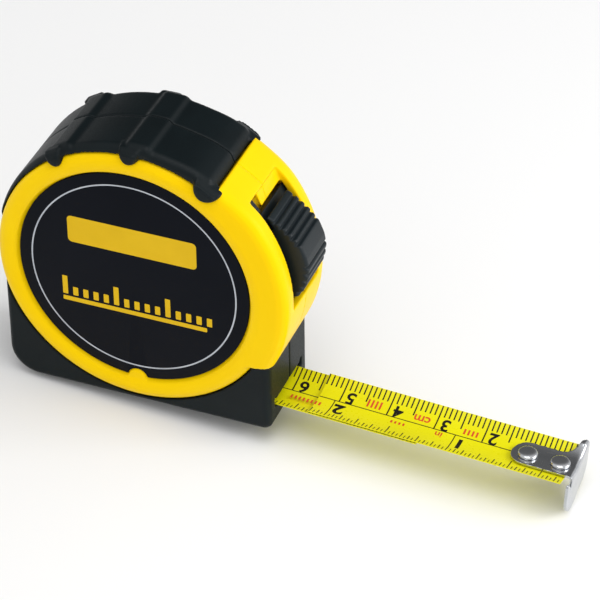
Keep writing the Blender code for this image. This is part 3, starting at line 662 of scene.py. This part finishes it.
def ribbedRadius(degrees):
    # each groove is steep on one side and eases out on the other
    steep, easy, cut = lockLook["steep"], lockLook["easy"], 0.0
    for groove in lockLook["grooves"]:
        off = degrees - groove if groove > lockLook["middle"] else groove - degrees
        if -steep <= off <= easy:
            cut = max(cut, (off + steep) / steep if off < 0 else (1 - off / easy) ** 1.5)
    return crownRadius(degrees) - lockLook["groove"] * cut


def makeLock():
    look, low, half = lockLook, lockLook["low"], lockLook["half"]
    reach = look["crown"][0][0] - low
    spots = [low + reach * k / look["steps"] for k in range(1, look["steps"] + 1)]
    outline = look["foot"] + [(ribbedRadius(a), a) for a in spots] + look["head"]
    levels = [(-half + run, inset) for run, inset in look["edge"]]
    levels += [(half - run, inset) for run, inset in reversed(look["edge"])]
    cap = loft("cap", [[onCase(r - inset if r > look["edgeFrom"] else r, a, y) for r, a in outline]
                       for y, inset in levels])
    parts = [cap, sector("slider", *look["slider"]), sector("arm", *look["arm"])]
    return dress(mould("thumbLock", parts, look), "buttonPlastic", "lock", "lock_black", "lock_button")


makeLock()
print("lock done")

# blade: outer strip with the hook, and the strip that follows it
stripLook = {"columns": 28, "rows": 24, "outer": (6.4, 58.85), "inner": (-23.4, 29.2), "innerDrop": 0.5}


def makeStrip(name, span, down, body, node):
    half, thick = bladeShape["width"] / 2, bladeShape["thick"]
    columns, rows = stripLook["columns"], stripLook["rows"]
    across = [-half + 2 * half * k / columns for k in range(columns + 1)]
    ring = [(y, bladeLift(y) - down) for y in across]
    ring += [(y - thick * math.sin(bladeSlope(y)), w + thick * math.cos(bladeSlope(y)))
             for y, w in reversed(ring)]
    along = [span[0] + (span[1] - span[0]) * k / rows for k in range(rows + 1)]
    strip = loft(name, [[onBlade(u, y, w) for y, w in ring] for u in along], 30)
    return dress(strip, "bladeLacquer", body, "blade_yellow", node)


makeStrip("bladeOuterStrip", stripLook["outer"], 0.0, "blade", "blade_strip")
makeStrip("bladeInnerStrip", stripLook["inner"], stripLook["innerDrop"], "inner_blade",
          "blade_inner_strip")

# printed scales: centimetres along the back edge, inches along the front edge
scaleLook = {
    "edge": 6.2, "middle": 0.5, "middleHalf": 0.1, "endGap": 0.05, "markGap": 0.2, "marks": 200,
    "line": 0.27, "oneMm": 2.3, "fiveMm": 3.8, "ink": 0.02, "lift": 0.002, "fold": 0.42, "folds": 15,
    "inch": 25.4, "inchTicks": {32: None, 16: 3.5, 8: 2.9, 4: 2.4, 2: 1.9, 1: 1.45},  # None: to the middle
    "inchLine": 0.2, "inchFine": 0.16,
    "cmNumeral": {"size": 4.1, "shift": 1.9, "y": 2.2, "bold": 0.022},
    "inchNumeral": {"size": 4.6, "shift": 1.55, "y": -1.95, "bold": 0.035}}
# red dashes in rows (start, count, low and high edge), and the unit names
redLook = {
    "rows": ((-44.6, 4, 1.3, 3.3), (-24.2, 4, 1.3, 2.7), (-59.4, 8, -2.5, -1.3), (-38.6, 4, -1.3, -0.5)),
    "step": 0.85, "dash": 0.4, "units": (("cm", 2.9, -33.0, 2.0, 0.02), ("in", 2.3, -28.6, -0.75, 0.015))}
zero = bladeShape["face"]                            # the scales count from the hook's face


def glyph(text, size, u, y, bold):
    # outlines of a numeral that reads from the back of the blade
    curve = bpy.data.curves.new("numeral", "FONT")
    curve.body = text
    curve.size = size
    curve.align_x = "CENTER"
    curve.align_y = "CENTER"
    curve.offset = bold * size
    holder = linked("numeral", curve)
    mesh = settled(holder)
    shapes = [[(u - mesh.vertices[i].co.x, y - mesh.vertices[i].co.y) for i in face.vertices]
              for face in mesh.polygons]
    drop(holder)
    return shapes


def bladeInk(name, shapes, down, look, body):
    s = scaleLook
    bm = bmesh.new()
    for shape in shapes:
        bm.faces.new([bm.verts.new((u, y, 0.0)) for u, y in shape])
    bmesh.ops.remove_doubles(bm, verts=bm.verts, dist=1e-5)
    sliced(bm, 1, [k * s["fold"] for k in range(-s["folds"], s["folds"] + 1)], 1e-6)
    thicken(bm, s["ink"])
    for vert in bm.verts:
        u, y, high = vert.co
        top = bladeShape["thick"] / math.cos(bladeSlope(y))
        vert.co = onBlade(u, y, bladeLift(y) - down + top + high + s["lift"])
    bmesh.ops.recalc_face_normals(bm, faces=bm.faces)
    return dress(fromBmesh(name, bm), look, body, "blade_yellow")


def cmReach(k):
    s = scaleLook
    if k % 10 == 0:
        return s["edge"] - s["middle"]
    return s["fiveMm"] if k % 5 == 0 else s["oneMm"]


def scaleShapes(span, numerals):
    s = scaleLook
    made = [corners(span[0] + s["endGap"], span[1] - s["endGap"],
                    s["middle"] - s["middleHalf"], s["middle"] + s["middleHalf"])]

    def mark(u, half, y0, y1):
        if span[0] + s["markGap"] < u < span[1] - s["markGap"]:
            made.append(corners(u - half, u + half, y0, y1))

    for k in range(s["marks"]):
        mark(zero - k, s["line"] / 2, s["edge"] - cmReach(k), s["edge"])
    for k in range(s["marks"]):
        step = next(n for n in s["inchTicks"] if k % n == 0)
        reach = s["inchTicks"][step] or s["edge"] + s["middle"]
        wide = s["inchLine"] if step > 1 else s["inchFine"]
        mark(zero - s["inch"] * k / 32, wide / 2, -s["edge"], -s["edge"] + reach)
    for text, u, look in numerals:
        made += glyph(text, look["size"], u + look["shift"], look["y"], look["bold"])
    return made


def numeralRow(unit, look, *numbers):
    return [(str(k), zero - unit * k, look) for k in numbers]


cmLook, inchLook, inch = scaleLook["cmNumeral"], scaleLook["inchNumeral"], scaleLook["inch"]
outerNumerals = numeralRow(10, cmLook, 2, 3, 4, 5) + numeralRow(inch, inchLook, 1, 2)
innerNumerals = numeralRow(10, cmLook, 6, 7, 8) + numeralRow(inch, inchLook, 3)
bladeInk("scaleOuter", scaleShapes(stripLook["outer"], outerNumerals), 0.0, "blackInk", "blade")
bladeInk("scaleInner", scaleShapes(stripLook["inner"], innerNumerals), stripLook["innerDrop"],
         "blackInk", "inner_blade")
redMarks = []
for text, size, back, y, bold in redLook["units"]:
    redMarks += glyph(text, size, zero + back, y, bold)
for first, count, y0, y1 in redLook["rows"]:
    starts = [zero + first + redLook["step"] * k for k in range(count)]
    redMarks += [corners(u, u + redLook["dash"], y0, y1) for u in starts]
bladeInk("scaleRed", redMarks, 0.0, "redInk", "blade")
print("blade done")

# hook: one bent sheet, drawn flat as (s, y), then folded over the blade's end;
# neck and throat are measured from the fold, the lip from the fold's end
hookLook = {
    "voxel": 0.11, "rounds": 3, "keep": 0.5,
    "thick": 0.6, "rise": 0.35, "start": 46.9, "half": 3.3, "bend": 0.9,
    "neck": [(-3.4, 3.3), (-2.4, 3.55), (-1.5, 4.3), (-0.9, 5.3), (-0.45, 6.9), (0.2, 7.55),
             (1.2, 7.8)],
    "lip": [(1.2, 7.8), (3.3, 7.8), (4.6, 7.45), (5.7, 6.7), (6.4, 5.7), (6.7, 4.4), (6.8, 3.0),
            (7.1, 2.0), (7.7, 1.2), (8.0, 0.0), (8.0, -1.6), (7.6, -3.0), (6.7, -4.4), (5.4, -5.5),
            (4.2, -6.1), (3.0, -6.3), (0.6, -6.3), (0.15, -5.95), (0.2, -5.1), (0.9, -4.55),
            (1.35, -4.2), (1.35, -3.8), (0.8, -3.45)],
    "throat": [(0.6, -3.35), (-0.6, -3.3)],
    "grid": 0.45, "gridEnd": 72.0, "gridSide": (-6.6, 8.0), "hollowHalf": 6.2, "levelOver": 3.0}
rivetLook = {"r": 2.0, "high": 0.9, "rim": 0.28, "side": 0.1, "gap": 0.03, "shank": 0.8,
             "foot": [(0.8, -0.06), (1.3, -0.06), (1.3, -0.2), (0.0, -0.2)], "back": (10.3, 3.6)}
foldStart = bladeShape["face"] - hookLook["bend"]
foldEnd = foldStart + hookLook["bend"] * math.pi / 2


def hookOutline():
    h, half = hookLook, hookLook["half"]
    points = [(h["start"] + half - half * math.cos(math.radians(a)), half * math.sin(math.radians(a)))
              for a in range(-90, 91, 10)]
    for base, run in ((foldStart, h["neck"]), (foldEnd, h["lip"]), (foldStart, h["throat"])):
        points += [(base + s, y) for s, y in run]
    return points


def hookPlace(s, y, high):
    # the fold keeps its outer face on the measuring face
    h = hookLook
    lift = bladeLift(min(abs(y), h["hollowHalf"]))
    level = h["rise"] + lift + h["thick"]            # outer side of the sheet
    if s <= foldStart:
        return onBlade(s, y, level - h["thick"] + high)
    r = h["bend"] - h["thick"] + high
    centre = level - h["bend"]
    if s <= foldEnd:
        turn = (s - foldStart) / h["bend"]
        return onBlade(foldStart + r * math.sin(turn), y, centre + r * math.cos(turn))
    down = s - foldEnd
    return onBlade(foldStart + r, y, centre - down - lift * ease(down / h["levelOver"]))


def makeHook():
    h = hookLook
    bm = bmesh.new()
    bm.faces.new([bm.verts.new((s, y, 0.0)) for s, y in hookOutline()])
    bmesh.ops.triangulate(bm, faces=bm.faces[:])
    for axis, (low, high) in enumerate(((h["start"], h["gridEnd"]), h["gridSide"])):
        steps = int((high - low) / h["grid"]) + 1
        sliced(bm, axis, [low + k * h["grid"] for k in range(steps)], 1e-4)
    thicken(bm, h["thick"])
    for vert in bm.verts:
        vert.co = hookPlace(*vert.co)
    bmesh.ops.recalc_face_normals(bm, faces=bm.faces)
    hook = mould("steelHook", [fromBmesh("hookSheet", bm)], h)
    return dress(hook, "brightSteel", "hook", "bright_steel", "end_hook")


def makeRivet(name, u, node):
    look, r, rim = rivetLook, rivetLook["r"], rivetLook["rim"]
    seat = hookLook["rise"] + bladeLift(r) + hookLook["thick"] + look["gap"]
    dome = [math.radians(a) for a in range(10, 91, 8)]
    profile = [(0.0, seat + look["high"])]
    profile += [(r * math.sin(a), seat + rim + (look["high"] - rim) * math.cos(a)) for a in dome]
    profile += [(r, seat + look["side"]), (r - look["side"], seat), (look["shank"], seat)] + look["foot"]

    def place(away, w, t):
        a = 2 * math.pi * t
        return onBlade(u + away * math.cos(a), away * math.sin(a), w)
    rivet = sweepRound(name, profile, place, 48, whole=True)
    return dress(rivet, "brightSteel", "blade", "bright_steel", node)


makeHook()
for k, back in enumerate(rivetLook["back"], 1):
    makeRivet("domeRivet%d" % k, zero - back, "hook_rivet_%d" % k)
print("hook done")

# belt clip: a bent strip, from its plate on the case over the top and down to its foot
clipLook = {
    "half": 5.0, "thick": 1.0, "plateIn": 0.5, "springIn": 1.1, "plate": (12.2, 3.0),
    "bendY": 2.1, "bendZ": 2.3, "bendDown": 2.8, "spring": [(0.0, 3.2), (-0.5, 12.0)],
    "foot": [(-1.5, 5.5), (-1.55, 4.3), (-0.9, 2.2), (0.45, 0.4)], "endIn": 1.1}
screwLook = {
    "dome": 0.6, "shank": 0.55, "slotHalf": 0.2, "slotDeep": 0.5,
    "cross": 0.85, "rise": 0.85, "clipCross": 1.5, "clipRise": 1.15,
    "heads": [(0.0, 1.0), (0.0, 1.0), (0.6, 0.6)]}   # sunk by, share; the third sits in the rounded edge


def makeClip():
    look = clipLook
    low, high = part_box("belt_clip")
    y0, y1, z0, z1 = low.y / mm + look["plateIn"], high.y / mm - look["springIn"], low.z / mm, high.z / mm
    line = [(y0, z0 + look["plate"][0]), (y0, z1 - look["plate"][1])]
    for a in range(10, 171, 16):
        a = math.radians(a)
        line.append((y0 + look["bendY"] * (1 - math.cos(a)),
                     z1 - look["bendDown"] + look["bendZ"] * math.sin(a)))
    line += [(y1 + out, z1 - down) for out, down in look["spring"]]
    line += [(y1 + out, z0 + up) for out, up in look["foot"]]
    points, faces = [], []
    for k, (y, z) in enumerate(line):
        (ya, za), (yb, zb) = line[max(0, k - 1)], line[min(len(line) - 1, k + 1)]
        along = Vector((yb - ya, zb - za)).normalized()
        side = Vector((-along.y, along.x)) * look["thick"] / 2
        wide = look["half"] - (look["endIn"] if k in (0, len(line) - 1) else 0.0)
        points += [Vector((x, y + s * side.x, z + s * side.y)) * mm for x, s in corners(-wide, wide, -1, 1)]
    for k in range(len(line) - 1):
        for i in range(4):
            a, b = 4 * k + i, 4 * k + (i + 1) % 4
            faces.append((a, b, b + 4, a + 4))
    faces += [(3, 2, 1, 0), tuple(range(len(points) - 4, len(points)))]
    clip = newObject("beltClip", points, faces)
    bevelled(clip, 0.25, 3, 40, 35)
    return dress(clip, "brightSteel", "case", "bright_steel", "belt_clip")


def makeScrew(name, node, cross, rise, sink=0.0, share=1.0):
    look = screwLook
    low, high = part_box(node)
    x, z = (low.x + high.x) / 2 / mm, (low.z + high.z) / 2 / mm
    r = (high.x - low.x) / 2 / mm * share
    top, end, neck = high.y / mm - sink, low.y / mm, r * look["shank"]
    dome = [math.radians(a) for a in range(12, 91, 13)]
    profile = [(0.0, top)]
    profile += [(r * math.sin(a), top - rise * look["dome"] * (1 - math.cos(a))) for a in dome]
    profile += [(r, top - rise), (neck, top - rise), (neck, end), (0.0, end)]
    screw = turned(name, profile, 48, (x, z))
    thin = look["slotHalf"]
    arms = [prism("arm", corners(x - a, x + a, z - b, z + b), (top - look["slotDeep"], top + 1))
            for a, b in ((cross, thin), (thin, cross))]
    cutOut(screw, *arms)
    drop(*arms)
    shade(screw, 40)
    return dress(screw, "darkSteel", "case", "spring_steel", node)


makeClip()
for k, (sink, share) in enumerate(screwLook["heads"], 1):
    makeScrew("crossScrew%d" % k, "case_screw_%d" % k, screwLook["cross"] * share, screwLook["rise"],
              sink, share)
makeScrew("clipScrew", "belt_clip_screw", screwLook["clipCross"], screwLook["clipRise"])

# the solids inside the case keep their shape and get a finish
insideLook = {"spool_drum": "drumPlastic", "spool_cover": "drumPlastic", "blade_coil": "bladeLacquer",
              "power_spring": "darkSteel", "centre_spindle": "brightSteel", "brake_pad": "padRubber"}
for node, look in insideLook.items():
    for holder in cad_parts[node].material_slots:
        holder.material = finishes[look]
print("back and inside done")

# floor, light and camera; places here are in metres, the floor's in mm
stageLook = {
    "heel": (-22.7, -0.9), "tip": (88.9, -8.8), "floorHalf": 900,    # the floor touches heel and hook
    "floor": {"tone": (0.90,) * 3, "tone2": (0.91,) * 3, "cloud": 200.0, "grain": 8.0,
              "rough": (0.8, 0.9), "bump": (0.02, 0.01), "fixed": {"Specular IOR Level": 0.0}},
    "lights": {"keyLight": ((0.14, -0.20, 0.62), 0.40, 1.2), "sideLight": ((0.55, 0.10, 0.25), 0.30, 1.7)},
    "aim": (0.02, 0.0, 0.025),
    "sky": 0.82, "skyDark": 0.16, "darkWay": (-0.29, 0.74, 0.61), "darkWidth": (0.62, 0.93)}
cameraLook = {"azimuth": 21.61, "elevation": 37.44, "roll": -0.49, "away": 0.615, "lens": 188.94,
              "sensor": 36.0, "near": 0.01, "target": (0.0309, 0.0, 0.0263)}


def makeFloor():
    (xa, za), (xb, zb) = stageLook["heel"], stageLook["tip"]
    slope, half = (zb - za) / (xb - xa), stageLook["floorHalf"]
    points = [Vector((x, y, za + slope * (x - xa))) * mm for x, y in corners(-half, half, -half, half)]
    floor = newObject("paleFloor", points, [(0, 1, 2, 3)])
    floor.data.materials.append(finish("paleFloor", stageLook["floor"]))


def softBox(name, place, size, power):
    lamp = bpy.data.lights.new(name, "AREA")
    lamp.energy = power
    lamp.size = size
    box = linked(name, lamp)
    box.location = place
    way = Vector(stageLook["aim"]) - Vector(place)
    box.rotation_euler = way.to_track_quat("-Z", "Y").to_euler()


def makeSky():
    # an even white room with one dark side behind, for contrast in the steel and the black
    world = bpy.data.worlds.new("studio")
    bpy.context.scene.world = world
    world.use_nodes = True
    nodes, links = world.node_tree.nodes, world.node_tree.links
    ray = nodes.new("ShaderNodeTexCoord")
    toDark = nodes.new("ShaderNodeVectorMath")
    toDark.operation = "DOT_PRODUCT"
    toDark.inputs[1].default_value = Vector(stageLook["darkWay"]).normalized()
    links.new(ray.outputs["Generated"], toDark.inputs[0])
    level = nodes.new("ShaderNodeMapRange")
    level.interpolation_type = "SMOOTHSTEP"
    low, high = stageLook["darkWidth"]
    level.inputs["From Min"].default_value = low
    level.inputs["From Max"].default_value = high
    level.inputs["To Min"].default_value = stageLook["sky"]
    level.inputs["To Max"].default_value = stageLook["skyDark"]
    links.new(toDark.outputs["Value"], level.inputs["Value"])
    background = nodes["Background"]
    background.inputs["Color"].default_value = (1.0, 1.0, 1.0, 1.0)
    links.new(level.outputs["Result"], background.inputs["Strength"])


def makeCamera():
    look = cameraLook
    a, e, roll = (math.radians(look[part]) for part in ("azimuth", "elevation", "roll"))
    back = Vector((math.sin(a) * math.cos(e), -math.cos(a) * math.cos(e), math.sin(e)))
    right = Vector((0, 0, 1)).cross(back).normalized()
    up = back.cross(right)
    right, up = right * math.cos(roll) + up * math.sin(roll), up * math.cos(roll) - right * math.sin(roll)
    lens = bpy.data.cameras.new("camera")
    lens.lens = look["lens"]
    lens.sensor_width = look["sensor"]
    lens.clip_start = look["near"]
    camera = linked("camera", lens)
    camera.matrix_world = Matrix((right, up, back)).transposed().to_4x4()
    camera.location = Vector(look["target"]) + back * look["away"]
    bpy.context.scene.camera = camera


makeFloor()
for name, light in stageLook["lights"].items():
    softBox(name, *light)
makeSky()
makeCamera()
bpy.context.scene.view_settings.view_transform = "Standard"
print("stage done")
